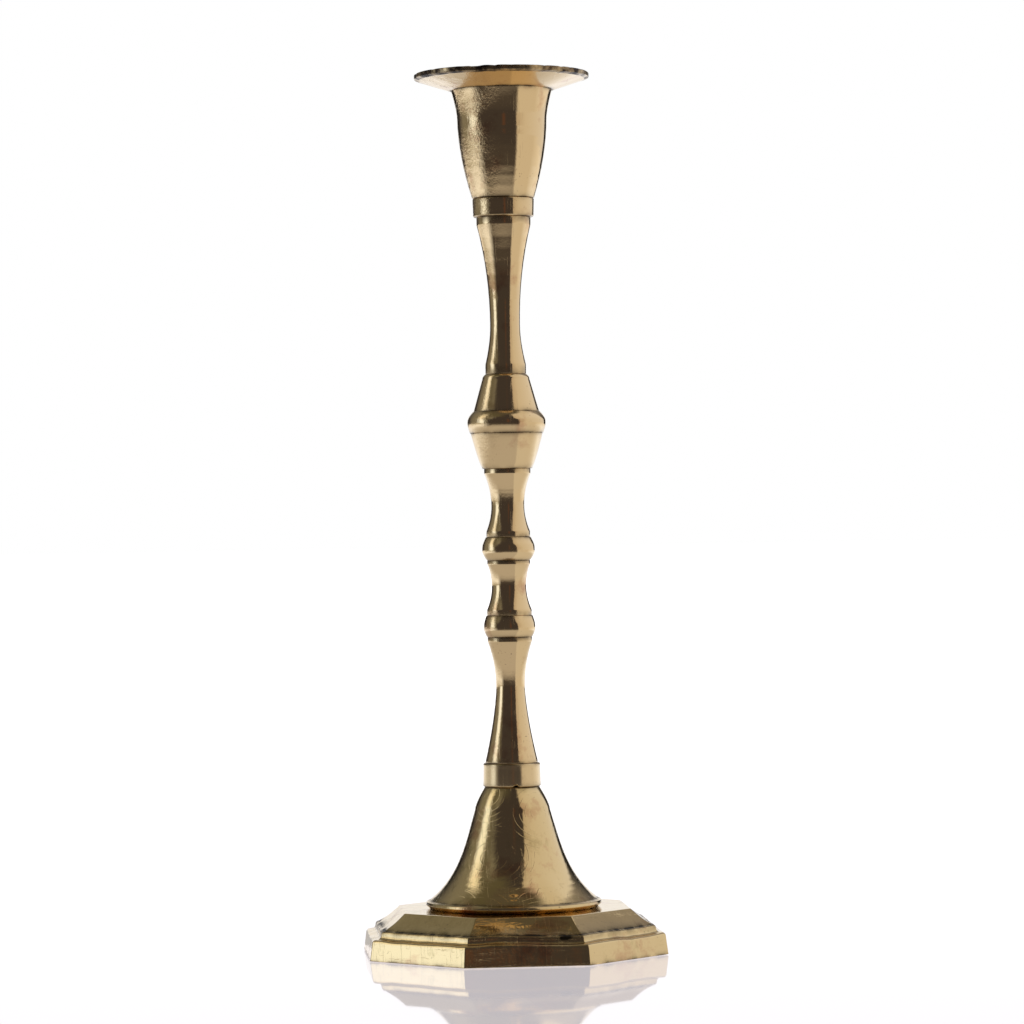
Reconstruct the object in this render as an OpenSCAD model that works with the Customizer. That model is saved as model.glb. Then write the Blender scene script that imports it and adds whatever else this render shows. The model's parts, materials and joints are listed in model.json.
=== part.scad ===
// Turned brass candlestick: an octagonal foot and a stack of turned pieces,
// centred on each other by spigots and pulled together by a rod on the axis.

/* [Foot] */
// Foot width across its flats at the floor
foot_w = 79; // [76:0.5:84]
// Foot height up to the flat that carries the bell
foot_h = 12; // [11.5:0.1:13]
// Height of the upright face round the foot
foot_face_h = 5.6; // [5:0.1:5.8]

/* [Bell] */
// Bell height with its lip
bell_h = 32.3; // [30:0.1:36]
// Radius of the lip round the bottom of the bell
bell_lip_r = 23.6; // [23:0.1:25]
// Radius of the bell where it meets the collar
bell_top_r = 7.2; // [6.8:0.1:7.6]

/* [Lower stem] */
// Lower collar height
lower_collar_h = 6.3; // [5:0.1:8]
// Lower collar radius
lower_collar_r = 7.75; // [7.4:0.05:8.2]
// Lower spindle height
lower_spindle_h = 33.6; // [30:0.1:38]
// Lower spindle radius at its waist
lower_spindle_waist_r = 3.85; // [3.7:0.05:4.5]
// Lower bead height
lower_bead_h = 5.8; // [5:0.1:7]
// Lower bead radius at its edge
lower_bead_r = 7; // [6.6:0.05:7.6]
// Lower waist height
lower_waist_h = 14.7; // [13:0.1:17]
// Lower waist radius at its narrowest
lower_waist_r = 4.6; // [4.2:0.05:5.2]
// Upper bead height
upper_bead_h = 6.3; // [5.5:0.1:7]
// Upper bead radius at its edge
upper_bead_r = 7.2; // [6.8:0.05:7.8]
// Upper waist height
upper_waist_h = 18.3; // [16:0.1:21]
// Upper waist radius at its narrowest
upper_waist_r = 4.4; // [4.1:0.05:5]

/* [Knop] */
// Height of the cone under the knop ring
knop_lower_h = 9.5; // [8:0.1:11]
// Knop ring height
knop_ring_h = 5.8; // [5:0.1:7]
// Knop ring radius at its edge
knop_r = 10.65; // [10.3:0.05:11.5]
// Height of the cone above the knop ring
knop_upper_h = 10; // [9:0.1:12]

/* [Upper stem] */
// Upper spindle height
upper_spindle_h = 42; // [38:0.1:48]
// Upper spindle radius at its waist
upper_spindle_waist_r = 4; // [3.7:0.05:4.6]
// Upper collar height
upper_collar_h = 5.1; // [4.5:0.1:6.5]
// Upper collar radius
upper_collar_r = 8.25; // [7.9:0.05:8.7]

/* [Cup and pan] */
// Candle cup height under the pan
cup_h = 28.9; // [28:0.1:32]
// Candle cup radius round its body
cup_r = 12; // [11.8:0.05:13]
// Candle socket diameter
socket_d = 20.6; // [19:0.1:20.6]
// Drip pan radius
pan_r = 23.4; // [22:0.1:26]
// Drip pan height
pan_h = 4.4; // [4.2:0.1:5.5]

/* [Rod] */
// Tie rod diameter
rod_d = 4.8; // [4.2:0.1:4.8]

/* [Hidden] */

$fn = 96;
brass = "#c2a468";
dull_brass = "#8f7b45";
steel = "#8a8a88";
cut = 0.5;           // how far a cutter runs past a face
curve_steps = 8;
round_power = 2;     // bend of a rounded shoulder
shoulder_power = 1.4; // bend of a flatter shoulder
collar_taper = 0.15;
collar_chamfer = 0.3;

// Joints between the pieces
rod_r = rod_d / 2;
rod_hole_r = rod_r + 0.1;
spigot_r = 4.2;
spigot_h = 2;
spigot_root = 1;     // how far a spigot is rooted in its own piece
spigot_gap = 0.1;
foot_spigot_r = 8;

// Underside of the foot
foot_plate_t = 4;
foot_wall_t = 4.5;
foot_step_h = 5;
foot_step_w = 5.5;
washer_r = 8;
washer_t = 1;
nut_w = 9.5;
nut_h = 3.5;
rod_tail = 1.5;

// Candle socket and the tube that the pan sits round
socket_r = socket_d / 2;
socket_floor = 13.3;
socket_point_h = 3;
socket_point_r = 4;
pan_tube_r = 11.5;
pan_tube_h = 1.4;
rod_grip = 6.3;

// Height at which each piece starts
bell_z = foot_h;
lower_collar_z = bell_z + bell_h;
lower_spindle_z = lower_collar_z + lower_collar_h;
lower_bead_z = lower_spindle_z + lower_spindle_h;
lower_waist_z = lower_bead_z + lower_bead_h;
upper_bead_z = lower_waist_z + lower_waist_h;
upper_waist_z = upper_bead_z + upper_bead_h;
knop_lower_z = upper_waist_z + upper_waist_h;
knop_ring_z = knop_lower_z + knop_lower_h;
knop_upper_z = knop_ring_z + knop_ring_h;
upper_spindle_z = knop_upper_z + knop_upper_h;
upper_collar_z = upper_spindle_z + upper_spindle_h;
cup_z = upper_collar_z + upper_collar_h;
pan_z = cup_z + cup_h;
plate_z = foot_h - foot_plate_t;
washer_z = plate_z - washer_t;
nut_z = washer_z - nut_h;
rod_z = nut_z - rod_tail;

// Outlines are lists of [radius, height], from the bottom up.
// A curve that starts steep at [r0, z0] and runs level with the axis at [r1, z1]
function settle(r0, z0, r1, z1, power) = [
    for (i = [1 : curve_steps])
        let (t = i / curve_steps)
        [r1 + (r0 - r1) * pow(1 - t, power), z0 + (z1 - z0) * t]
];

// A curve that leaves [r0, z0] level with the axis and bends out to [r1, z1]
function spread(r0, z0, r1, z1, power) = [
    for (i = [1 : curve_steps])
        let (t = i / curve_steps)
        [r0 + (r1 - r0) * pow(t, power), z0 + (z1 - z0) * t]
];

// A spindle: a ring at the bottom, a waist, and an upright band at the top
function spindle(h, ring_r, ring_h, waist_r, waist_z, band_r, band_h, low_power, high_power) = concat(
    [[ring_r, 0], [ring_r, ring_h]],
    settle(ring_r, ring_h, waist_r, waist_z, low_power),
    spread(waist_r, waist_z, band_r, h - band_h, high_power),
    [[band_r, h]]
);

// A bead: a rounded lower half, a crisp edge and a sloping upper half
function bead(h, bottom_r, edge_r, edge_z, top_r) = concat(
    [[bottom_r, 0]],
    settle(bottom_r, 0, edge_r, edge_z, round_power),
    spread(edge_r, edge_z, top_r, h, shoulder_power)
);

// A collar with a small chamfer at each end
function collar(h, bottom_r, top_r, chamfer) = [
    [bottom_r - chamfer, 0], [bottom_r, chamfer],
    [top_r, h - chamfer], [top_r - chamfer, h]
];

// A turned piece: its outline spun round, bored for the rod,
// with a spigot on top and a socket for the spigot of the piece below
module turned(outline, z, h, has_socket = true, has_spigot = true) {
    translate([0, 0, z])
    difference() {
        union() {
            rotate_extrude() polygon(concat([[0, 0]], outline, [[0, h]]));
            if (has_spigot)
                translate([0, 0, h - spigot_root])
                    cylinder(r = spigot_r, h = spigot_root + spigot_h);
        }
        if (has_socket)
            translate([0, 0, -cut])
                cylinder(r = spigot_r + spigot_gap, h = cut + spigot_h + spigot_gap);
        translate([0, 0, -cut])
            cylinder(r = rod_hole_r, h = h + spigot_h + 2 * cut);
    }
}

// Points round an arc of a given centre and radius, first and last included
function arc(x, z, r, from, to) = [
    for (i = [0 : curve_steps])
        let (a = from + (to - from) * i / curve_steps)
        [x + r * cos(a), z + r * sin(a)]
];

// Half the cross-section of the foot, as [distance from the axis, height]:
// a battered face with a rounded arris, a cove, a small quarter round,
// and a slightly hollow slope up to the flat
foot_batter = 0.6;
foot_arris_r = 1;
foot_ledge = 0.3;
foot_cove_r = 1.2;
foot_round_r = 0.9;
foot_slope_w = 5.8;
foot_hollow = 0.2;
foot_crown_r = 0.7;
foot_crown_angle = 55;
function foot_section() =
    let (arris_x = foot_w / 2 - foot_batter - foot_arris_r,
         cove_x = arris_x - foot_ledge,
         round_x = cove_x - foot_cove_r - foot_round_r,
         round_z = foot_face_h + foot_cove_r,
         slope_z = round_z + foot_round_r,
         crown_x = round_x - foot_slope_w,
         crown_z = foot_h - foot_crown_r)
    concat(
        [[0, 0], [foot_w / 2, 0]],
        arc(arris_x, foot_face_h - foot_arris_r, foot_arris_r, 0, 90),
        arc(cove_x, foot_face_h + foot_cove_r, foot_cove_r, 270, 180),
        arc(round_x, round_z, foot_round_r, 0, 90),
        [[(round_x + crown_x) / 2, (slope_z + foot_h) / 2 - foot_hollow]],
        arc(crown_x, crown_z, foot_crown_r, foot_crown_angle, 90),
        [[0, foot_h]]
    );

// The foot's solid: its section run along each pair of sides, mitred at the corners
module foot_block() {
    intersection_for (turn = [0 : 45 : 135])
        rotate([0, 0, turn])
        rotate([90, 0, 0])
        linear_extrude(height = 2 * foot_w, center = true)
            polygon(concat(
                foot_section(),
                [for (i = [len(foot_section()) - 2 : -1 : 1])
                    [-foot_section()[i][0], foot_section()[i][1]]]
            ));
}

// An eight-sided recess of a given distance from axis to side
module octagon_recess(apothem, top) {
    rotate([0, 0, 22.5])
    translate([0, 0, -cut])
        cylinder(r = apothem / cos(22.5), h = top + cut, $fn = 8);
}

module octagonal_foot() {
    color(dull_brass)
    difference() {
        foot_block();
        octagon_recess(foot_w / 2 - foot_wall_t, foot_step_h);
        octagon_recess(foot_w / 2 - foot_wall_t - foot_step_w, plate_z);
        translate([0, 0, foot_h - spigot_h - spigot_gap])
            cylinder(r = foot_spigot_r + spigot_gap, h = spigot_h + spigot_gap + cut);
        cylinder(r = rod_hole_r, h = foot_h + cut);
    }
}

// The bell is a cone with a flare at the foot and a rounded shoulder at the top
bell_lip_h = 2.2;
bell_undercut = 1.2;
bell_flare_r = 22.4;
bell_flare_power = 4;
bell_cone_r = 16.9;
bell_shoulder_r = 10.1;
bell_shoulder_h = 6.3;
function bell_outline() =
    let (z0 = bell_lip_h, z1 = bell_h - bell_shoulder_h)
    concat(
        [[bell_lip_r - bell_undercut, 0], [bell_lip_r, z0 / 2],
         [bell_lip_r - 0.2, z0 - 0.4], [bell_flare_r, z0]],
        [for (i = [1 : 2 * curve_steps])
            let (t = i / (2 * curve_steps))
            [bell_cone_r + (bell_shoulder_r - bell_cone_r) * t
                + (bell_flare_r - bell_cone_r) * pow(1 - t, bell_flare_power),
             z0 + (z1 - z0) * t]],
        spread(bell_shoulder_r, z1, bell_top_r, bell_h, shoulder_power)
    );

module bell() {
    color(dull_brass) {
        turned(bell_outline(), bell_z, bell_h, has_socket = false);
        difference() {
            translate([0, 0, bell_z - spigot_h])
                cylinder(r = foot_spigot_r, h = spigot_h + spigot_root);
            translate([0, 0, bell_z - spigot_h - cut])
                cylinder(r = rod_hole_r, h = spigot_h + spigot_root + 2 * cut);
        }
    }
}

module lower_collar() {
    color(brass)
    turned(collar(
            h = lower_collar_h, bottom_r = lower_collar_r,
            top_r = lower_collar_r - collar_taper, chamfer = collar_chamfer),
        lower_collar_z, lower_collar_h);
}

module lower_spindle() {
    color(brass)
    turned(spindle(
            h = lower_spindle_h, ring_r = 7, ring_h = 0.4,
            waist_r = lower_spindle_waist_r, waist_z = 20.4,
            band_r = 5.95, band_h = 1.2, low_power = 1.5, high_power = 2),
        lower_spindle_z, lower_spindle_h);
}

module lower_bead() {
    color(brass)
    turned(bead(
            h = lower_bead_h, bottom_r = 6, edge_r = lower_bead_r,
            edge_z = 2.8, top_r = 6.2),
        lower_bead_z, lower_bead_h);
}

module lower_waist() {
    color(brass)
    turned(spindle(
            h = lower_waist_h, ring_r = 6, ring_h = 1.5,
            waist_r = lower_waist_r, waist_z = 8,
            band_r = 5.75, band_h = 1, low_power = 2, high_power = 2),
        lower_waist_z, lower_waist_h);
}

module upper_bead() {
    color(brass)
    turned(bead(
            h = upper_bead_h, bottom_r = 5.8, edge_r = upper_bead_r,
            edge_z = 3.2, top_r = 6),
        upper_bead_z, upper_bead_h);
}

module upper_waist() {
    color(brass)
    turned(spindle(
            h = upper_waist_h, ring_r = 5.85, ring_h = 1.5,
            waist_r = upper_waist_r, waist_z = 8.5,
            band_r = 6.2, band_h = 1.3, low_power = 2, high_power = 2),
        upper_waist_z, upper_waist_h);
}

// The knop: a cone that widens, a ring with a crisp edge, and a cone that narrows
knop_foot_r = 6.6;
knop_seat_r = 9.65;
knop_step = 0.15;     // how far the ring stands out past the cones
knop_lower_power = 0.8;
knop_edge_z = 2.4;
knop_ring_top_r = 8.95;
knop_neck_r = 6.3;
knop_neck_h = 1.2;
knop_top_r = 5.5;
module knop_lower_cone() {
    color(brass)
    turned(concat(
            [[knop_foot_r, 0]],
            spread(knop_foot_r, 0, knop_seat_r, knop_lower_h, knop_lower_power)),
        knop_lower_z, knop_lower_h);
}

module knop_ring() {
    color(brass)
    turned(concat(
            [[knop_seat_r + knop_step, 0], [knop_r, knop_edge_z]],
            spread(knop_r, knop_edge_z, knop_ring_top_r, knop_ring_h, round_power)),
        knop_ring_z, knop_ring_h);
}

module knop_upper_cone() {
    color(brass)
    turned(concat(
            [[knop_ring_top_r - knop_step, 0], [knop_neck_r, knop_upper_h - knop_neck_h]],
            spread(knop_neck_r, knop_upper_h - knop_neck_h, knop_top_r, knop_upper_h, round_power)),
        knop_upper_z, knop_upper_h);
}

module upper_spindle() {
    color(brass)
    turned(spindle(
            h = upper_spindle_h, ring_r = 5.45, ring_h = 2.6,
            waist_r = upper_spindle_waist_r, waist_z = 13,
            band_r = 7.25, band_h = 2, low_power = 1.8, high_power = 2.1),
        upper_spindle_z, upper_spindle_h);
}

module upper_collar() {
    color(brass)
    turned(collar(
            h = upper_collar_h, bottom_r = upper_collar_r - collar_taper,
            top_r = upper_collar_r, chamfer = collar_chamfer),
        upper_collar_z, upper_collar_h);
}

// The cup: a rounded body, a lip that flares under the pan, and the candle socket
cup_bottom_r = 8.3;
cup_body_h = 21.3;
cup_body_power = 1.8;
cup_lip_r = 13.5;
module candle_cup() {
    color(brass)
    translate([0, 0, cup_z])
    difference() {
        union() {
            rotate_extrude() polygon(concat(
                [[0, 0], [cup_bottom_r, 0]],
                settle(cup_bottom_r, 0, cup_r, cup_body_h, cup_body_power),
                spread(cup_r, cup_body_h, cup_lip_r, cup_h, shoulder_power),
                [[0, cup_h]]
            ));
            translate([0, 0, cup_h - spigot_root])
                cylinder(r = pan_tube_r, h = spigot_root + pan_tube_h);
        }
        translate([0, 0, socket_floor])
            cylinder(r = socket_r, h = cup_h);
        translate([0, 0, socket_floor - socket_point_h])
            cylinder(r1 = socket_point_r, r2 = socket_r, h = socket_point_h);
        translate([0, 0, -cut])
            cylinder(r = spigot_r + spigot_gap, h = cut + spigot_h + spigot_gap);
        translate([0, 0, -cut])
            cylinder(r = rod_r, h = cut + rod_grip);
    }
}

// The pan: a shallow dish with an upright rim, soldered round the cup's tube
pan_rim_h = 1.2;
pan_rim_t = 0.9;
module drip_pan() {
    color(brass)
    translate([0, 0, pan_z])
    rotate_extrude() polygon([
        [pan_tube_r, 0], [cup_lip_r + 0.2, 0], [pan_r, pan_h - pan_rim_h], [pan_r, pan_h - 0.2],
        [pan_r - 0.2, pan_h], [pan_r - pan_rim_t, pan_h], [pan_r - pan_rim_t - 0.5, pan_h - 0.6],
        [pan_tube_r, pan_tube_h]
    ]);
}

module tie_rod() {
    color(steel)
    translate([0, 0, rod_z])
        cylinder(r = rod_r, h = cup_z + rod_grip - rod_z);
}

module base_washer() {
    color(steel)
    translate([0, 0, washer_z])
    difference() {
        cylinder(r = washer_r, h = washer_t);
        translate([0, 0, -cut])
            cylinder(r = rod_hole_r, h = washer_t + 2 * cut);
    }
}

module base_nut() {
    color(steel)
    translate([0, 0, nut_z])
    difference() {
        cylinder(r = nut_w / 2 / cos(30), h = nut_h, $fn = 6);
        translate([0, 0, -cut])
            cylinder(r = rod_r, h = nut_h + 2 * cut);
    }
}

octagonal_foot();
bell();
lower_collar();
lower_spindle();
lower_bead();
lower_waist();
upper_bead();
upper_waist();
knop_lower_cone();
knop_ring();
knop_upper_cone();
upper_spindle();
upper_collar();
candle_cup();
drip_pan();
tie_rod();
base_washer();
base_nut();
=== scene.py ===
import json
import math

import bpy
import numpy as np
from mathutils import Matrix, Vector, noise


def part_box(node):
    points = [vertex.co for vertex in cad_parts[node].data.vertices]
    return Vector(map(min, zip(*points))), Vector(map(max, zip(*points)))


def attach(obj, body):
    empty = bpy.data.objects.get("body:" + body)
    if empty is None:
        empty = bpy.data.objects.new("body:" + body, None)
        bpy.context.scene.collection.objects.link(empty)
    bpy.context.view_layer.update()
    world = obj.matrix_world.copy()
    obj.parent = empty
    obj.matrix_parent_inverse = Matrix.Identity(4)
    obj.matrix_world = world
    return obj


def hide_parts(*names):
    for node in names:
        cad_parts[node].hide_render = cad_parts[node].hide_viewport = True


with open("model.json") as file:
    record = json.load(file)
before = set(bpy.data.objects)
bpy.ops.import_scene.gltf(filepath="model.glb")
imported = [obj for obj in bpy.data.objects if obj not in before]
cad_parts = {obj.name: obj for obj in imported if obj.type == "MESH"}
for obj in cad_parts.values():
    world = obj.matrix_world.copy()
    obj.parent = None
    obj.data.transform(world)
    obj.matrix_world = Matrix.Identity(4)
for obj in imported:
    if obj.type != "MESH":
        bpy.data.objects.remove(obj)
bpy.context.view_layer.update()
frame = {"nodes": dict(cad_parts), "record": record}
MM = 0.001


def mixed(first, second, share):
    """A blend of two points or lights, by a share held between 0 and 1."""
    share = min(max(share, 0), 1)
    return [a * (1 - share) + b * share for a, b in zip(first, second)]


# ---------------------------------------------------------------- camera
CAMERA_DISTANCE = 1100 * MM
CAMERA_HEIGHT = 114 * MM
CAMERA_SIDE = 1.1 * MM
CAMERA_AZIMUTH = math.radians(-4.85)
CAMERA_PITCH = math.radians(0.19)
CAMERA_ROLL = math.radians(-0.88)
CAMERA_LENS = 144.4
CAMERA_SENSOR = 36
CAMERA_CLIP = (0.01, 100)


def make_camera():
    """A long lens, level with the middle of the stem and rolled a little."""
    data = bpy.data.cameras.new("camera")
    data.lens = CAMERA_LENS
    data.sensor_width = CAMERA_SENSOR
    data.clip_start, data.clip_end = CAMERA_CLIP
    camera = bpy.data.objects.new("camera", data)
    bpy.context.collection.objects.link(camera)
    forward = Vector((-math.sin(CAMERA_AZIMUTH), math.cos(CAMERA_AZIMUTH), 0))
    right = Vector((forward.y, -forward.x, 0))
    place = right * CAMERA_SIDE - forward * CAMERA_DISTANCE + Vector((0, 0, CAMERA_HEIGHT))
    look = forward * math.cos(CAMERA_PITCH) + Vector((0, 0, math.sin(CAMERA_PITCH)))
    turn = look.to_track_quat("-Z", "Y").to_matrix().to_4x4()
    camera.matrix_world = Matrix.Translation(place) @ turn @ Matrix.Rotation(CAMERA_ROLL, 4, "Z")
    bpy.context.scene.camera = camera


# ---------------------------------------------------------------- outlines
STACK = [
    "bell", "lower_collar", "lower_spindle", "lower_bead", "lower_waist", "upper_bead",
    "upper_waist", "knop_lower_cone", "knop_ring", "knop_upper_cone", "upper_spindle",
    "upper_collar", "candle_cup", "drip_pan",
]
FOOT_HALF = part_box("octagonal_foot")[1][0]
FOOT_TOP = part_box("octagonal_foot")[1][2]
CUP_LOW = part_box("candle_cup")[0][2]
SLACK = 0.01 * MM               # how near two heights are to count as one
SAME_POINT = 0.05 * MM          # how near two outline points are to count as one
OUTWARD = 0.02                  # how far a face leans away from the axis to be a wall
CORNER_TURN = math.radians(13)  # a sharper turn in an outline is a corner
CORNER_SOFTNESS = 0.16 * MM     # how far along its sides a corner is rounded
CORNER_SHARE = 0.4              # and the most of a short side that this takes
CORNER_PARTS = 4
FINE_STEP = 0.35 * MM
BORE_RADIUS = 2.5 * MM


def cad_rings(node):
    """The (radius, height) of every ring of points in a turned CAD node."""
    co = np.array([v.co for v in frame["nodes"][node].data.vertices])
    rings = np.column_stack([np.hypot(co[:, 0], co[:, 1]), co[:, 2]])
    return np.unique(np.round(rings, 5), axis=0)


def wall_points(node, sense=1):
    """The corners of a CAD node's faces that look away from the axis, or towards it for sense -1."""
    mesh = frame["nodes"][node].data
    found = set()
    for face in mesh.polygons:
        away = Vector((face.center.x, face.center.y, 0))
        if away.length > 0 and sense * face.normal.dot(away.normalized()) > OUTWARD:
            found.update(tuple(round(c, 5) for c in mesh.vertices[i].co) for i in face.vertices)
    return found


def outer_outline(node, top):
    """The outside of a turned CAD node, from the bottom up to a height."""
    widest = {}
    for x, y, z in wall_points(node):
        if z <= top + SLACK:
            widest[z] = max(widest.get(z, 0), round(math.hypot(x, y), 5))
    return [(widest[z], z) for z in sorted(widest)]


def turn_at(a, b, c):
    """The turn of an outline at b, positive where the corner faces into the metal."""
    first = Vector(b) - Vector(a)
    second = Vector(c) - Vector(b)
    return first.angle_signed(second, 0.0)


def bent(start, corner, end, parts):
    """Points on the curve that leaves start and arrives at end, both heading for the corner."""
    shares = [k / parts for k in range(parts + 1)]
    return [tuple((1 - t) ** 2 * start + 2 * t * (1 - t) * corner + t * t * end) for t in shares]


def smooth_stretch(points):
    """A Catmull-Rom curve through a stretch with no corner in it."""
    if len(points) < 3:
        return list(points)
    p = [Vector(q) for q in points]
    p = [2 * p[0] - p[1]] + p + [2 * p[-1] - p[-2]]
    out = [tuple(p[1])]
    for a, b, c, d in zip(p, p[1:], p[2:], p[3:]):
        parts = max(1, round((c - b).length / FINE_STEP))
        for i in range(1, parts + 1):
            t = i / parts
            q = 0.5 * (2 * b + (c - a) * t + (2 * a - 5 * b + 4 * c - d) * t ** 2
                       + (3 * b - a - 3 * c + d) * t ** 3)
            out.append(tuple(q))
    return out


def soft_corner(a, b, c):
    """The points that round corner b, between its neighbours a and c."""
    a, b, c = Vector(a), Vector(b), Vector(c)
    back = min(CORNER_SOFTNESS, CORNER_SHARE * (b - a).length, CORNER_SHARE * (c - b).length)
    start = b + (a - b).normalized() * back
    end = b + (c - b).normalized() * back
    return bent(start, b, end, CORNER_PARTS)


def refined(points):
    """An open outline with its curves smoothed and its corners slightly rounded."""
    corners = [0] + [i for i in range(1, len(points) - 1)
                     if abs(turn_at(*points[i - 1:i + 2])) > CORNER_TURN] + [len(points) - 1]
    smooth = []
    for i, j in zip(corners, corners[1:]):
        smooth.append(smooth_stretch(points[i:j + 1]))
    out = list(smooth[0])
    for nxt in smooth[1:]:
        rounded = soft_corner(out[-2], out[-1], nxt[1])
        out = out[:-1] + rounded + nxt[1:]
    return out


WORN_EDGES = {"lower_bead": 1.0 * MM, "upper_bead": 1.0 * MM, "knop_ring": 1.2 * MM}
WORN_PARTS = 10


def with_worn_edge(points, reach):
    """An outline whose widest corner is rounded over a reach on both sides."""
    peak = max(range(len(points)), key=lambda i: points[i][0])
    edge = Vector(points[peak])
    near = [i for i, q in enumerate(points) if (Vector(q) - edge).length < reach]
    start, end = Vector(points[near[0] - 1]), Vector(points[near[-1] + 1])
    return points[:near[0] - 1] + bent(start, edge, end, WORN_PARTS) + points[near[-1] + 2:]


# ---------------------------------------------------------------- meshes
SPIN_STEPS = 160
SHARP_TURN = math.radians(38)  # a sharper turn between faces is shaded as an edge


def mesh_piece(name, verts, faces, grime_and_shade_levels, material, nodes):
    """A finished piece, smooth shaded, with its dirt and painted shade stored on its points."""
    mesh = bpy.data.meshes.new(name)
    mesh.from_pydata(verts, [], faces)
    mesh.validate()
    attribute = mesh.attributes.new("grime_and_shade", "FLOAT", "POINT")
    attribute.data.foreach_set("value", grime_and_shade_levels)
    for polygon in mesh.polygons:
        polygon.use_smooth = True
    piece = bpy.data.objects.new(name, mesh)
    bpy.context.collection.objects.link(piece)
    mesh.materials.append(material)
    mesh.set_sharp_from_angle(angle=SHARP_TURN)
    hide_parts(*nodes)
    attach(piece, "root")
    return piece


def spun(name, loop, grime_and_shade, material, nodes):
    """Spins a closed outline round the axis. Points on the axis become poles."""
    verts, grime_and_shade_levels, rows = [], [], []
    for (r, z), dirt_and_shade in zip(loop, grime_and_shade):
        if r < SLACK:
            rows.append([len(verts)])
            verts.append((0, 0, z))
            grime_and_shade_levels.append(dirt_and_shade)
            continue
        rows.append(list(range(len(verts), len(verts) + SPIN_STEPS)))
        for k in range(SPIN_STEPS):
            a = 2 * math.pi * k / SPIN_STEPS
            verts.append((r * math.cos(a), r * math.sin(a), z))
            grime_and_shade_levels.append(dirt_and_shade)
    faces = []
    for low, high in zip(rows, rows[1:] + rows[:1]):
        for k in range(SPIN_STEPS):
            n = (k + 1) % SPIN_STEPS
            if len(low) == 1 and len(high) == 1:
                break
            if len(low) == 1:
                faces.append((low[0], high[n], high[k]))
            elif len(high) == 1:
                faces.append((low[k], low[n], high[0]))
            else:
                faces.append((low[k], low[n], high[n], high[k]))
    return mesh_piece(name, verts, faces, grime_and_shade_levels, material, nodes)


# How far the darkening spreads from a joint or hollow corner: dirt and painted shade.
GRIME_AND_SHADE_REACH = 0.4 * MM


def hollow_corners(points):
    """The corners of an outline, given from the bottom up, that face into the metal."""
    return [b for a, b, c in zip(points, points[1:], points[2:]) if turn_at(a, b, c) > CORNER_TURN]


def grime_and_shade_along(loop, corners, reach=GRIME_AND_SHADE_REACH):
    """Dirt and painted shade per point: full at a joint or a hollow corner, gone a little way from it.
    """
    return [max(math.exp(-(Vector(q) - Vector(c)).length / reach) for c in corners) for q in loop]


def make_stack(materials, slots):
    """Every turned piece, from the bell to the pan."""
    starts = {node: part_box(node)[0][2] for node in STACK}
    starts["bell"] = FOOT_TOP
    for node, above in zip(STACK[:-2], STACK[1:-1]):
        low, top = starts[node], starts[above]
        outside = [q for q in outer_outline(node, top) if q[1] >= low - SLACK]
        whole = [(BORE_RADIUS, low)] + outside + [(BORE_RADIUS, top)]
        loop = refined(whole)
        if node in WORN_EDGES:
            loop = with_worn_edge(loop, WORN_EDGES[node])
        # Joints and hollow corners are darkened: dirt and painted shade.
        corners = [outside[0], outside[-1]] + hollow_corners(outside)
        piece = spun(node + "_turned", loop, grime_and_shade_along(loop, corners),
                     materials[slots[node]], [node])
        if node == "bell":
            add_casting_spot(piece)
        if node == "lower_collar":
            add_notch(piece)
    make_cup(materials, starts, slots)
    make_pan(materials, slots)


SOCKET_POINT = 3 * MM
SOCKET_POINT_SHARE = 0.4  # radius of the drill point's flat end against the socket's


def make_cup(materials, starts, slots):
    """The candle cup with its tube and the candle socket."""
    low, top = starts["candle_cup"], starts["drip_pan"]
    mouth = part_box("candle_cup")[1][2]
    socket = next(m for m in frame["record"]["mounts"] if m["name"] == "candle_socket")
    socket_r = socket["dims"]["r_mm"] * MM
    socket_low = mouth - socket["dims"]["length_mm"] * MM
    tube_r = float(cad_rings("drip_pan")[:, 0].min())
    outside = outer_outline("candle_cup", top)
    outer = refined([(0, low)] + outside + [(tube_r, top)])
    inner = refined([(tube_r, top), (tube_r, mouth), (socket_r, mouth), (socket_r, socket_low),
                     (SOCKET_POINT_SHARE * socket_r, socket_low - SOCKET_POINT),
                     (0, socket_low - SOCKET_POINT)])[1:]
    # Darkened at its joints and down in the socket: dirt and painted shade.
    dirt_and_shade = grime_and_shade_along(outer, [outside[0], outside[-1]])
    dirt_and_shade += grime_and_shade_along(inner, [(tube_r, top), (socket_r, socket_low)])
    spun("candle_cup_turned", outer + inner, dirt_and_shade,
         materials[slots["candle_cup"]], ["candle_cup"])


RIM_WIDTH = 1.1 * MM
RIM_WEAR = 0.5 * MM
RIM_NICK = 2.5 * MM
RIM_DRIFT = 12.5 * MM  # how far apart the nicked and the sound stretches are
RIM_EVENNESS = 0.5     # and how much of the wear is the same in both


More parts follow.
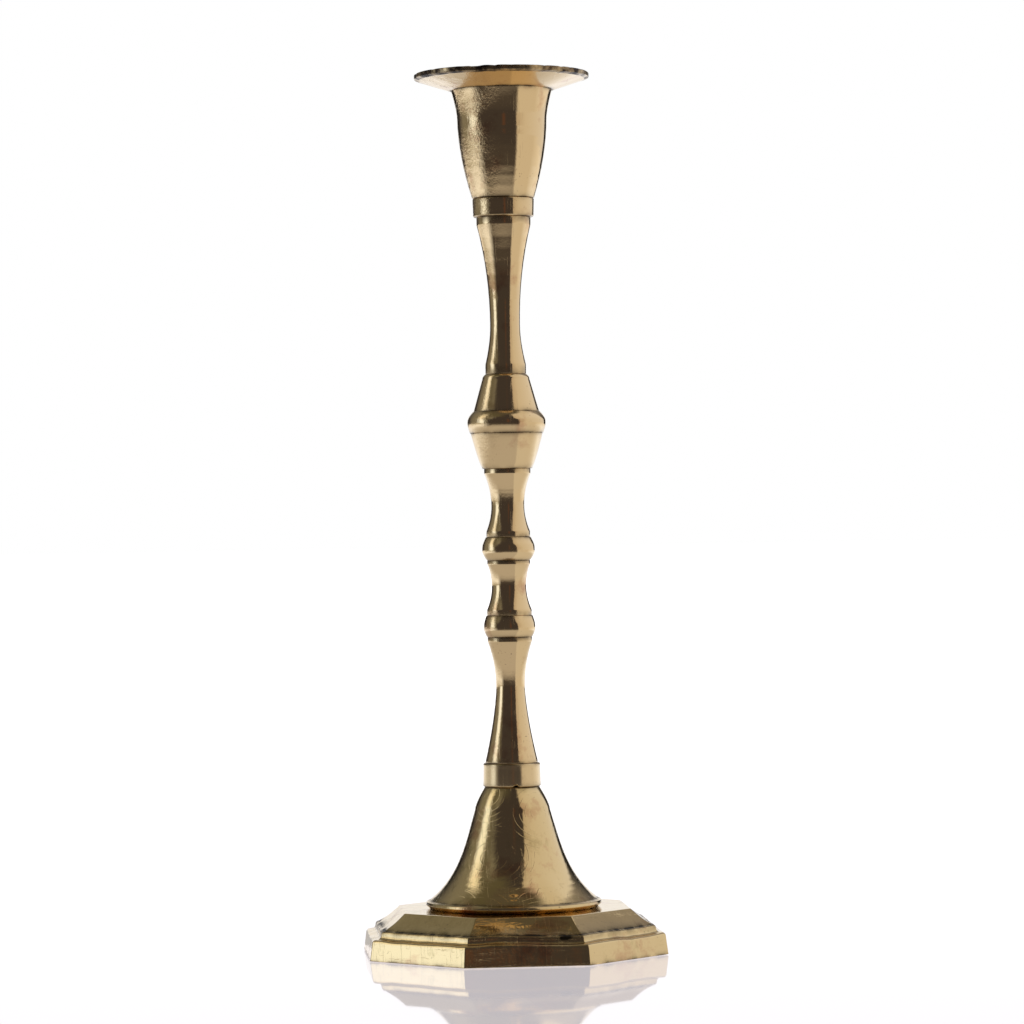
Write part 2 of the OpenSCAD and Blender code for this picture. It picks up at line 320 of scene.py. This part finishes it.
def make_pan(materials, slots):
    """The drip pan: its underside and rim, then its dish back to the tube."""
    rings = [tuple(map(float, q)) for q in cad_rings("drip_pan")]
    outside = outer_outline("drip_pan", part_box("drip_pan")[1][2])
    inside = []
    for q in sorted(rings, key=lambda q: (-q[0], -q[1])):
        if all((Vector(q) - Vector(p)).length > SAME_POINT for p in outside + inside):
            inside.append(q)
    loop = refined(outside + inside + outside[:1])[:-1]
    # Darkened at its joints and hollow corners, dirt and painted shade; the rim is darkened all over.
    dirt_and_shade = grime_and_shade_along(loop, [outside[0], inside[-1], inside[-2]])
    rim_r = max(q[0] for q in loop)
    dirt_and_shade = [1 if q[0] > rim_r - RIM_WIDTH else d for q, d in zip(loop, dirt_and_shade)]
    piece = spun("drip_pan_turned", loop, dirt_and_shade,
                 materials[slots["drip_pan"]], ["drip_pan"])
    for v in piece.data.vertices:
        r = math.hypot(v.co.x, v.co.y)
        if r > rim_r - RIM_WIDTH:
            at = Vector((v.co.x, v.co.y, 0))
            worn = noise.noise(at / RIM_NICK) * (RIM_EVENNESS + noise.noise(at / RIM_DRIFT))
            worn = RIM_WEAR * max(worn, 0)
            v.co.x *= 1 - worn / r
            v.co.y *= 1 - worn / r
            v.co.z -= worn


OUTSIDE_FROM = 5 * MM  # farther out than this, a point of a collar or the bell isn't in its bore
NOTCH_BEARING = math.radians(8)
NOTCH_WIDTH = 0.9 * MM
NOTCH_DEPTH = 0.5 * MM


def round_from_front(co):
    """How far round the axis a point is from the front, in metres towards the right."""
    return (math.atan2(co.x, -co.y) - CAMERA_AZIMUTH) * math.hypot(co.x, co.y)


def add_notch(collar):
    """A chip out of the lower edge of the brushed collar, a little right of the front."""
    low = min(v.co.z for v in collar.data.vertices)
    for v in collar.data.vertices:
        r = math.hypot(v.co.x, v.co.y)
        side = round_from_front(v.co) - NOTCH_BEARING * r
        if r > OUTSIDE_FROM and v.co.z < low + NOTCH_DEPTH and abs(side) < NOTCH_WIDTH:
            v.co.z += NOTCH_DEPTH * (1 - (side / NOTCH_WIDTH) ** 2)


SPOT_HEIGHT = 3.8 * MM
SPOT_WIDTH = 1.7 * MM
SPOT_TALL = 0.8 * MM
SPOT_RISE = 0.5 * MM
SPOT_REACH = 3        # how many of its widths the bubble spreads
CRATER_DEPTH = 0.9    # depth of the hole in the bubble against its rise
CRATER_NARROW = 5     # how much tighter the hole is


def add_casting_spot(bell):
    """A small blown bubble in the casting, low on the front of the bell."""
    for v in bell.data.vertices:
        r = math.hypot(v.co.x, v.co.y)
        up = v.co.z - FOOT_TOP - SPOT_HEIGHT
        far = math.hypot(round_from_front(v.co) / SPOT_WIDTH, up / SPOT_TALL)
        if r > OUTSIDE_FROM and far < SPOT_REACH:
            crater = CRATER_DEPTH * math.exp(-CRATER_NARROW * far * far)
            rise = SPOT_RISE * (math.exp(-far * far) - crater)
            v.co.x *= 1 + rise / r
            v.co.y *= 1 + rise / r


# ---------------------------------------------------------------- foot
FOOT_CORNER_STEPS = 5
FOOT_CORNER_R = 0.45 * MM
FOOT_SIDE_STEPS = 16
FLAT_TURN = math.pi / 4  # the turn from one flat to the next
# How far and how strongly the foot's creases are darkened: dirt and painted shade.
FOOT_GRIME_AND_SHADE_REACH = 0.8 * MM
FOOT_GRIME_AND_SHADE = 1.4


def octagon_ring(apothem, z):
    """Points round an octagon with flats on X and Y and slightly rounded corners."""
    centre = (apothem - FOOT_CORNER_R) / math.cos(FLAT_TURN / 2)
    points = []
    for side in range(8):
        hub = FLAT_TURN * (side + 0.5)
        next_hub = hub + FLAT_TURN
        arc = []
        for k in range(FOOT_CORNER_STEPS + 1):
            a = FLAT_TURN * (side + k / FOOT_CORNER_STEPS)
            arc.append((centre * math.cos(hub) + FOOT_CORNER_R * math.cos(a),
                        centre * math.sin(hub) + FOOT_CORNER_R * math.sin(a)))
        a = FLAT_TURN * (side + 1)
        next_start = (centre * math.cos(next_hub) + FOOT_CORNER_R * math.cos(a),
                      centre * math.sin(next_hub) + FOOT_CORNER_R * math.sin(a))
        points += arc
        for k in range(1, FOOT_SIDE_STEPS):
            points.append(mixed(arc[-1], next_start, k / FOOT_SIDE_STEPS))
    return [(x, y, z) for x, y in points]


def foot_levels(sense=1):
    """The foot's outside, or with sense -1 its stepped hollow, as (distance to a flat, height)."""
    walls = wall_points("octagonal_foot", sense)
    return {(x, z) for x, y, z in walls if x > FOOT_HALF / 2 and abs(y) < x}


WAVE = 0.45 * MM
WAVE_LENGTH = 16 * MM
RIPPLE = 0.4        # height of the finer waves against the long ones
RIPPLES = 3.1       # how many of them to a long one


def waved(x, y, z, top):
    """The casting's uneven mouldings: heights drift a little round the foot, but not the base or top."""
    share = math.sin(math.pi * min(max(z / top, 0), 1)) ** 2
    at = Vector((x, y, 0)) / WAVE_LENGTH
    drift = noise.noise(at) + RIPPLE * noise.noise(at * RIPPLES)
    return x, y, z + WAVE * share * drift


CAKE_PLACE = Vector((0.27 * FOOT_HALF, -0.92 * FOOT_HALF, 0.58 * FOOT_TOP))
CAKE_SIZE = Vector((3.2 * MM, 1.4 * MM, 0.9 * MM))
CAKE_THICKNESS = 1.6


def caked(point):
    """A cake of old polish in the cove at the right end of the front."""
    off = Vector(point) - CAKE_PLACE
    far = Vector((off.x / CAKE_SIZE.x, off.y / CAKE_SIZE.y, off.z / CAKE_SIZE.z)).length
    return CAKE_THICKNESS * math.exp(-far * far)


def make_foot(materials, slots):
    """The octagonal foot, with its hollow underside."""
    outline = sorted(foot_levels(), key=lambda q: (q[1], -q[0]))
    recess = sorted(foot_levels(-1), key=lambda q: (-q[1], q[0]))
    top = outline[-1][1]
    loop = refined(recess[-1:] + outline + [(BORE_RADIUS, top)])
    loop += [(BORE_RADIUS, recess[0][1])] + recess[:-1]
    # Creases and the bottom edge are darkened, dirt and painted shade; the polish cake is added to it.
    creases = grime_and_shade_along(loop, hollow_corners(outline), FOOT_GRIME_AND_SHADE_REACH)
    edges = grime_and_shade_along(loop, outline[:1])
    rings, grime_and_shade_levels = [], []
    for (a, z), crease, edge in zip(loop, creases, edges):
        rings.append([waved(*v, top) for v in octagon_ring(a, z)])
        grime_and_shade_levels += [max(FOOT_GRIME_AND_SHADE * crease, edge, caked(v)) for v in rings[-1]]
    count = len(rings[0])
    verts = [v for ring in rings for v in ring]
    faces = []
    for i in range(len(rings)):
        j = (i + 1) % len(rings)
        for k in range(count):
            n = (k + 1) % count
            faces.append((i * count + k, i * count + n, j * count + n, j * count + k))
    mesh_piece("octagonal_foot_cast", verts, faces, grime_and_shade_levels, materials[slots["octagonal_foot"]],
               ["octagonal_foot"])


# ---------------------------------------------------------------- materials
class Surface:
    """One material's node tree, built up value by value."""

    def __init__(self, name):
        self.material = bpy.data.materials.new(name)
        self.material.use_nodes = True
        self.nodes = self.material.node_tree.nodes
        self.links = self.material.node_tree.links
        self.shader = self.nodes["Principled BSDF"]

    def place(self):
        """Where a point is on the object, in metres."""
        return self.nodes.new("ShaderNodeTexCoord").outputs["Object"]

    def noise(self, place, scale, detail=4.0, roughness=0.55):
        """Random values between 0 and 1 that drift from place to place."""
        node = self.nodes.new("ShaderNodeTexNoise")
        node.inputs["Scale"].default_value = scale
        node.inputs["Detail"].default_value = detail
        node.inputs["Roughness"].default_value = roughness
        self.links.new(place, node.inputs["Vector"])
        return node.outputs["Fac"]

    def stretched(self, place, scale, turn=(0, 0, 0)):
        """The place scaled differently each way, so that noise on it runs in lines."""
        node = self.nodes.new("ShaderNodeMapping")
        node.inputs["Scale"].default_value = scale
        node.inputs["Rotation"].default_value = turn
        self.links.new(place, node.inputs["Vector"])
        return node.outputs["Vector"]

    def ranged(self, value, low, high, to_low=0.0, to_high=1.0):
        """A value that runs from low to high, turned into one from to_low to to_high and held there."""
        node = self.nodes.new("ShaderNodeMapRange")
        node.inputs["From Min"].default_value = low
        node.inputs["From Max"].default_value = high
        node.inputs["To Min"].default_value = to_low
        node.inputs["To Max"].default_value = to_high
        self.links.new(value, node.inputs["Value"])
        return node.outputs["Result"]

    def blended(self, amount, first, second):
        """A colour mix; first and second are colours or sockets."""
        node = self.nodes.new("ShaderNodeMix")
        node.data_type = "RGBA"
        self.links.new(amount, node.inputs["Factor"])
        colours = [socket for socket in node.inputs if socket.type == "RGBA"]
        for socket, colour in zip(colours, (first, second)):
            if isinstance(colour, tuple):
                socket.default_value = (*colour, 1)
            else:
                self.links.new(colour, socket)
        return next(socket for socket in node.outputs if socket.type == "RGBA")

    def joined(self, operation, *values, clamp=True):
        """A sum, product or other operation on values that are numbers or sockets."""
        node = self.nodes.new("ShaderNodeMath")
        node.operation = operation
        node.use_clamp = clamp
        for socket, value in zip(node.inputs, values):
            if isinstance(value, (int, float)):
                socket.default_value = value
            else:
                self.links.new(value, socket)
        return node.outputs[0]


# How fine each mark is, in cycles to the metre, then the noise between which it comes in
PATCHES, PATCHES_IN = 110, (0.66, 0.84)
BLUSHES, BLUSHES_IN = 88, (0.56, 0.70)
SPECKS, SPECKS_IN = 1500, (0.66, 0.74)
SPECKLED, SPECKLED_IN = 60, (0.50, 0.62)
# The next noise breaks up the corner darkening of dirt and painted shade.
GRIME_AND_SHADE_GAPS, GRIME_AND_SHADE_GAPS_IN = 260, (0.28, 0.60)
HANDLED, HANDLED_IN = 170, (0.36, 0.60)
PITS, PITS_IN = 1700, (0.40, 0.60)
DENTS = 240
SWELLS = 140
SWIRL_CENTRES = 62
SWIRL_RINGS, SWIRL_RINGS_IN = 75, (0.93, 1.0)
SWIRL_GAPS, SWIRL_GAPS_IN = 210, (0.45, 0.53)
TURNING_LINES = (12, 12, 5200)
CAST_STREAKS = (90, 90, 700)
SCRATCHES, SCRATCHES_IN = (4200, 90, 90), (0.72, 0.76)
SCRATCH_WAYS = [(0.0, 1.35, 0.2), (0.3, 0.75, 0.9), (0.2, -0.8, 0.3), (0.0, 0.25, 1.3)]  # in radians
ROUGH_EDGED = 0.62  # noise roughness of patches with ragged edges
GRAINY = 0.6

# How strongly each shows
BLUSH_COLOUR = (0.46, 0.20, 0.11)
BLUSH = 0.6
MOTTLE = 0.8
SPECK = 0.7
GRIME_AND_SHADE_DULLNESS = 0.35
MARK_DULLNESS = 0.10
WEAR_DULLNESS = 0.06
RELIEF = 0.4 * MM  # height of the bumps at full strength
SWIRL_DEPTH = 0.05
DENT_DEPTH = 0.42
SWELL_DEPTH = 0.03

# The cup's left is worn most, the stem below it less
WEAR_SIDE = (-1 * MM, -6 * MM)
WEAR_CLIMB = 12 * MM
WEAR_BELOW = 0.35
WEAR_ELSEWHERE = 0.12
CAST_EDGE = 0.1 * MM


def swirled(surface, place):
    """Thin broken arcs about scattered centres, as a polishing cloth leaves them."""
    cells = surface.nodes.new("ShaderNodeTexVoronoi")
    cells.inputs["Scale"].default_value = SWIRL_CENTRES
    surface.links.new(place, cells.inputs["Vector"])
    rings = surface.joined("MULTIPLY", cells.outputs["Distance"], SWIRL_RINGS, clamp=False)
    line = surface.ranged(surface.joined("SINE", rings, clamp=False), *SWIRL_RINGS_IN)
    gaps = surface.ranged(surface.noise(place, SWIRL_GAPS), *SWIRL_GAPS_IN)
    return surface.joined("MULTIPLY", line, gaps)


def scratched(surface, place):
    """Fine straight scratches, running a few different ways."""
    found = 0.0
    for turn in SCRATCH_WAYS:
        lines = surface.noise(surface.stretched(place, SCRATCHES, turn), 1.0, detail=1)
        found = surface.joined("MAXIMUM", surface.ranged(lines, *SCRATCHES_IN), found)
    return found


def handled(surface, place, across, up):
    """Wear in fields: full on the left of the cup, less down the stem, faint on the right."""
    side = surface.ranged(across, *WEAR_SIDE)
    high = surface.ranged(up, CUP_LOW - WEAR_CLIMB, CUP_LOW, WEAR_BELOW, 1.0)
    strength = surface.joined("ADD", surface.joined("MULTIPLY", side, high), WEAR_ELSEWHERE)
    fields = surface.ranged(surface.noise(place, HANDLED), *HANDLED_IN)
    return surface.joined("MULTIPLY", strength, fields)


def grimy_and_shaded(surface, place):
    """Dirt and painted shade where the mesh says they lie, broken up, and specks of dirt in fields."""
    dirt_and_shade = surface.nodes.new("ShaderNodeAttribute")
    dirt_and_shade.attribute_name = "grime_and_shade"
    gaps = surface.ranged(surface.noise(place, GRIME_AND_SHADE_GAPS), *GRIME_AND_SHADE_GAPS_IN)
    fields = surface.ranged(surface.noise(place, SPECKLED), *SPECKLED_IN)
    specks = surface.ranged(surface.noise(place, SPECKS, detail=2), *SPECKS_IN)
    specks = surface.joined("MULTIPLY", specks, fields)
    return surface.joined("ADD", surface.joined("MULTIPLY", dirt_and_shade.outputs["Fac"], gaps),
                          surface.joined("MULTIPLY", specks, SPECK))


def dented(surface, place, cast):
    """Dents and streaks of the sand mould, on the cast foot only."""
    streaks = surface.noise(surface.stretched(place, CAST_STREAKS), 1.0, detail=3)
    dents = surface.joined("MULTIPLY", surface.noise(place, DENTS, detail=3), streaks)
    return surface.joined("MULTIPLY", dents, cast)


def brass(name, clean, tarnish, stain_and_shade, gloss, haze, tarnished, turning, scratching, pitting, swirling):
    """Aged brass: tarnish in patches, dirt and painted shade in corners, pits, turning marks and
    scratches.
    """
    surface = Surface(name)
    place = surface.place()
    parts = surface.nodes.new("ShaderNodeSeparateXYZ")
    surface.links.new(place, parts.inputs[0])
    across, up = parts.outputs["X"], parts.outputs["Z"]

    cast = surface.ranged(up, FOOT_TOP + CAST_EDGE, FOOT_TOP - CAST_EDGE)
    patches = surface.ranged(surface.noise(place, PATCHES, detail=6, roughness=ROUGH_EDGED),
                             *(edge - tarnished for edge in PATCHES_IN))
    scratches = scratched(surface, place)
    swirls = surface.joined("MULTIPLY", swirled(surface, place), swirling)
    swirls = surface.joined("SUBTRACT", swirls, cast)
    worn = handled(surface, place, across, up)
    pits = surface.joined("MULTIPLY", surface.noise(place, PITS, detail=3, roughness=GRAINY), worn)
    grime_and_shade = grimy_and_shaded(surface, place)

    mottle = surface.ranged(pits, *PITS_IN, to_high=MOTTLE)
    blush = surface.ranged(surface.noise(place, BLUSHES, detail=5, roughness=ROUGH_EDGED),
                           *BLUSHES_IN, to_high=BLUSH)
    colour = surface.blended(surface.joined("MAXIMUM", patches, mottle), clean, tarnish)
    colour = surface.blended(blush, colour, BLUSH_COLOUR)
    # The dark stain colour where the corner darkening lies: dirt and painted shade.
    colour = surface.blended(grime_and_shade, colour, stain_and_shade)
    surface.links.new(colour, surface.shader.inputs["Base Color"])
    surface.shader.inputs["Metallic"].default_value = 1.0

    rough = surface.ranged(patches, 0, 1, gloss, haze)
    marks = surface.joined("MAXIMUM", scratches, swirls)
    for mark, dullness in ((grime_and_shade, GRIME_AND_SHADE_DULLNESS), (marks, MARK_DULLNESS), (worn, WEAR_DULLNESS)):
        rough = surface.joined("ADD", rough, surface.joined("MULTIPLY", mark, dullness))
    surface.links.new(rough, surface.shader.inputs["Roughness"])

    lines = surface.noise(surface.stretched(place, TURNING_LINES), 1.0, detail=3)
    height = surface.joined("MULTIPLY", lines, turning)
    for relief, depth in ((scratches, scratching), (swirls, SWIRL_DEPTH), (pits, pitting),
                          (dented(surface, place, cast), DENT_DEPTH),
                          (surface.noise(place, SWELLS, detail=1), SWELL_DEPTH)):
        height = surface.joined("ADD", height, surface.joined("MULTIPLY", relief, depth))
    bump = surface.nodes.new("ShaderNodeBump")
    bump.inputs["Strength"].default_value = 1.0
    bump.inputs["Distance"].default_value = RELIEF
    surface.links.new(height, bump.inputs["Height"])
    surface.links.new(bump.outputs["Normal"], surface.shader.inputs["Normal"])
    return surface.material


STEEL = (0.40, 0.38, 0.35)
RUST = (0.20, 0.15, 0.11)
RUST_PATCHES, RUST_IN = 400, (0.3, 0.7)
STEEL_ROUGHNESS = (0.3, 0.6)


def plain_steel():
    """Dulled steel with rust starting in patches."""
    surface = Surface("dulled_steel")
    patches = surface.noise(surface.place(), RUST_PATCHES)
    surface.links.new(surface.blended(patches, STEEL, RUST), surface.shader.inputs["Base Color"])
    surface.shader.inputs["Metallic"].default_value = 1.0
    rough = surface.ranged(patches, *RUST_IN, *STEEL_ROUGHNESS)
    surface.links.new(rough, surface.shader.inputs["Roughness"])
    return surface.material


def make_materials():
    """One material for each slot in the record."""
    # Each stain colour darkens joints and corners: dirt and painted shade.
    return {
        "polished_brass": brass(
            "polished_brass", clean=(0.79, 0.58, 0.32), tarnish=(0.52, 0.34, 0.17),
            stain_and_shade=(0.035, 0.022, 0.015), gloss=0.075, haze=0.16, tarnished=0.04,
            turning=0.003, scratching=0.014, pitting=0.32, swirling=0.0),
        "foot_brass": brass(
            "foot_brass", clean=(0.75, 0.56, 0.29), tarnish=(0.45, 0.34, 0.15),
            stain_and_shade=(0.025, 0.018, 0.012), gloss=0.08, haze=0.18, tarnished=0.10,
            turning=0.002, scratching=0.012, pitting=0.20, swirling=1.0),
        "brushed_brass": brass(
            "brushed_brass", clean=(0.77, 0.58, 0.33), tarnish=(0.52, 0.37, 0.20),
            stain_and_shade=(0.035, 0.022, 0.015), gloss=0.14, haze=0.22, tarnished=0.06,
            turning=0.01, scratching=0.01, pitting=0.02, swirling=0.0),
        "steel": plain_steel(),
    }


# ---------------------------------------------------------------- studio
FLOOR_SIZE = 40.0
FLOOR_DROP = 0.2 * MM    # how far the floor lies below the foot
FLOOR_COLOUR = (0.30, 0.29, 0.31)
FLOOR_ROUGHNESS = 0.03
FLOOR_IOR = 1.4
FLOOR_LIGHT = (1.0, 0.95, 1.0)
FLOOR_LIGHT_STRENGTH = 0.46
ROOM_RADIUS = 4.0
ROOM_ROWS = 45
ROOM_PARTS = 6
LIT = (1.0, 1.0, 1.0)
WINDOW = (1.3, 1.5, 1.8)
WALL_NEAR = (0.60, 0.54, 0.47)
WALL = (0.74, 0.71, 0.66)
WALL_FAR = (0.86, 0.88, 0.94)
GREY = (0.25, 0.25, 0.22)
DARK = (0.06, 0.054, 0.058)
FLAG = (0.02, 0.02, 0.02)
SKY = (1.2, 1.2, 1.12)
SHADED = (0.36, 0.35, 0.36)
EMBER = (0.12, 0.064, 0.045)
OLIVE = (0.12, 0.115, 0.08)
# What stands round the candlestick: bearings low down and high up, in degrees from the camera
# towards its right, then the light low down, high up and near the ceiling
ROOM = [
    (-180, -180, LIT, SHADED, OLIVE), (-166, -170, LIT, GREY, OLIVE), (-164, -168, FLAG, GREY, OLIVE),
    (-152, -160, FLAG, GREY, OLIVE), (-142, -150, DARK, GREY, OLIVE), (-118, -122, GREY, GREY, OLIVE),
    (-98, -112, GREY, GREY, OLIVE), (-86, -103, WINDOW, SKY, OLIVE), (-74, -92, WINDOW, SKY, OLIVE),
    (-66, -80, GREY, OLIVE, OLIVE), (-58, -52, DARK, GREY, OLIVE), (-54, -38, DARK, DARK, OLIVE),
    (-1, -2, DARK, DARK, DARK), (5, 3, EMBER, DARK, DARK), (11, 8, DARK, DARK, DARK),
    (37, 26, DARK, DARK, DARK), (39, 28, WALL_NEAR, WALL_NEAR, WALL_NEAR), (62, 50, WALL, WALL, WALL),
    (140, 126, WALL_FAR, WALL_FAR, WALL), (146, 134, FLAG, SHADED, SHADED),
    (163, 156, FLAG, SHADED, SHADED), (166, 162, LIT, SHADED, SHADED), (180, 180, LIT, SHADED, OLIVE),
]
# The heights, in degrees, between which the room goes from each of these to the next
LOW_TOP = 10
HIGH_FROM = 40
HIGH_TOP = 46
TOP_FROM = 60
CEILING_FROM = 66
CEILING_AT = 73
CEILING = (0.11, 0.10, 0.08)
# The floor as the reflections see it: bearings, then its light near, midway and far
FLOOR_FROM = 50 * MM
FLOOR_REACH = (260 * MM, 620 * MM, 1600 * MM)
FLOOR_NEAR = (0.56, 0.55, 0.55)
FLOOR_DUSK = (0.08, 0.072, 0.072)
FLOOR_LEFT = (0.55, 0.55, 0.52)
FLOOR_SIDE = (0.72, 0.71, 0.69)
FLOOR_BACK = (1.15, 1.25, 1.45)
FLOOR = [
    (-180, FLOOR_NEAR, FLOOR_BACK, LIT), (-140, FLOOR_NEAR, FLOOR_BACK, LIT),
    (-115, FLOOR_NEAR, FLOOR_BACK, FLOOR_LEFT), (-78, FLOOR_NEAR, FLOOR_BACK, FLOOR_LEFT),
    (-54, FLOOR_NEAR, FLOOR_DUSK, DARK), (38, FLOOR_NEAR, FLOOR_DUSK, DARK),
    (41, FLOOR_SIDE, WALL, WALL), (90, FLOOR_SIDE, WALL, WALL),
    (130, FLOOR_SIDE, FLOOR_BACK, LIT), (180, FLOOR_NEAR, FLOOR_BACK, LIT),
]
GLOW_STEP = 3
GLOW_ROWS = 48
GLOW_HEIGHT = 0.1 * MM


def room_row(height):
    """The bearings and lights round the room at one height in degrees."""
    lean = min(max((height - LOW_TOP) / (HIGH_FROM - LOW_TOP), 0), 1)
    climb = (height - HIGH_TOP) / (TOP_FROM - HIGH_TOP)
    roof = (height - CEILING_FROM) / (CEILING_AT - CEILING_FROM)
    posts = [(low + (high - low) * lean,
              mixed(mixed(mixed(low_light, high_light, lean), top_light, climb), CEILING, roof))
             for low, high, low_light, high_light, top_light in ROOM]
    row = []
    for (start, light), (end, next_light) in zip(posts, posts[1:]):
        for k in range(ROOM_PARTS):
            share = k / ROOM_PARTS
            row.append((start + (end - start) * share, mixed(light, next_light, share)))
    return row + [posts[-1]]


def glowing(name):
    """An emission material of the mesh's own colours, lit on its front side only."""
    material = bpy.data.materials.new(name)
    material.use_nodes = True
    material.cycles.emission_sampling = "NONE"
    nodes, links = material.node_tree.nodes, material.node_tree.links
    nodes.clear()
    read = nodes.new("ShaderNodeAttribute")
    read.attribute_name = "glow"
    glow = nodes.new("ShaderNodeEmission")
    links.new(read.outputs["Color"], glow.inputs["Color"])
    clear = nodes.new("ShaderNodeBsdfTransparent")
    sides = nodes.new("ShaderNodeMixShader")
    links.new(nodes.new("ShaderNodeNewGeometry").outputs["Backfacing"], sides.inputs["Fac"])
    links.new(glow.outputs[0], sides.inputs[1])
    links.new(clear.outputs[0], sides.inputs[2])
    out = nodes.new("ShaderNodeOutputMaterial")
    links.new(sides.outputs[0], out.inputs["Surface"])
    return material


def towards(degrees, distance, height):
    """A point at an angle round the axis, counted from the camera towards its right."""
    a = CAMERA_AZIMUTH + math.radians(degrees)
    return (math.sin(a) * distance, -math.cos(a) * distance, height)


def unseen(name, verts, glow, width):
    """A glowing grid of points that lights and is reflected, but isn't seen by the camera."""
    rows = len(verts) // width
    faces = [(i, i + 1, i + width + 1, i + width) for row in range(rows - 1)
             for i in range(row * width, row * width + width - 1)]
    mesh = bpy.data.meshes.new(name)
    mesh.from_pydata(verts, [], faces)
    mesh.materials.append(glowing(name))
    mesh.attributes.new("glow", "FLOAT_COLOR", "POINT").data.foreach_set("color", glow)
    piece = bpy.data.objects.new(name, mesh)
    bpy.context.collection.objects.link(piece)
    piece.visible_camera = False
    piece.visible_shadow = False


def make_room():
    """A dome round the candlestick that lights it and stands in its reflections."""
    verts, glow = [], []
    for row in range(ROOM_ROWS + 1):
        height = 90 * (1 - row / ROOM_ROWS)
        reach, up = math.cos(math.radians(height)), math.sin(math.radians(height))
        for bearing, light in room_row(height):
            verts.append(towards(bearing, ROOM_RADIUS * reach, ROOM_RADIUS * up))
            glow += [*light, 1]
    unseen("room", verts, glow, len(room_row(0)))


def floor_light(bearing, reach):
    """The light of the floor in one direction and at one distance."""
    for (start, *lights), (end, *next_lights) in zip(FLOOR, FLOOR[1:]):
        if bearing <= end:
            share = (bearing - start) / (end - start)
            here = [mixed(a, b, share) for a, b in zip(lights, next_lights)]
            return [float(np.interp(reach, FLOOR_REACH, [c[i] for c in here])) for i in range(3)]


def make_floor_glow():
    """The floor as the reflections see it, lit behind the candlestick and dark in front."""
    bearings = list(range(-180, 181, GLOW_STEP))
    reaches = [float(r) for r in np.geomspace(ROOM_RADIUS, FLOOR_FROM, GLOW_ROWS)]
    verts = [towards(d, r, GLOW_HEIGHT) for r in reaches for d in bearings]
    glow = [c for r in reaches for d in bearings for c in (*floor_light(d, r), 1)]
    unseen("floor_glow", verts, glow, len(bearings))


def make_floor():
    """A pale polished floor that mirrors faintly."""
    mesh = bpy.data.meshes.new("floor")
    half = FLOOR_SIZE / 2
    corners = ((-half, -half), (half, -half), (half, half), (-half, half))
    mesh.from_pydata([(x, y, -FLOOR_DROP) for x, y in corners], [], [(0, 1, 2, 3)])
    surface = Surface("pale_floor")
    for socket, value in (("Base Color", (*FLOOR_COLOUR, 1)), ("Roughness", FLOOR_ROUGHNESS),
                          ("IOR", FLOOR_IOR), ("Emission Color", (*FLOOR_LIGHT, 1)),
                          ("Emission Strength", FLOOR_LIGHT_STRENGTH)):
        surface.shader.inputs[socket].default_value = value
    mesh.materials.append(surface.material)
    floor = bpy.data.objects.new("floor", mesh)
    bpy.context.collection.objects.link(floor)


def make_studio():
    """A white backdrop, the floor and what the brass reflects."""
    world = bpy.data.worlds.new("world")
    bpy.context.scene.world = world
    world.use_nodes = True
    background = world.node_tree.nodes["Background"]
    background.inputs["Color"].default_value = (1, 1, 1, 1)
    background.inputs["Strength"].default_value = 1.0
    bpy.context.scene.view_settings.view_transform = "Standard"
    make_floor()
    make_room()
    make_floor_glow()


# ---------------------------------------------------------------- scene
make_camera()
make_studio()
MATERIALS = make_materials()
SLOTS = {e["node"]: e["material_slot"] for e in frame["record"]["subparts"]}
make_stack(MATERIALS, SLOTS)
make_foot(MATERIALS, SLOTS)
for node in ("tie_rod", "base_washer", "base_nut"):
    steel_part = frame["nodes"][node]
    steel_part.data.materials.clear()
    steel_part.data.materials.append(MATERIALS[SLOTS[node]])
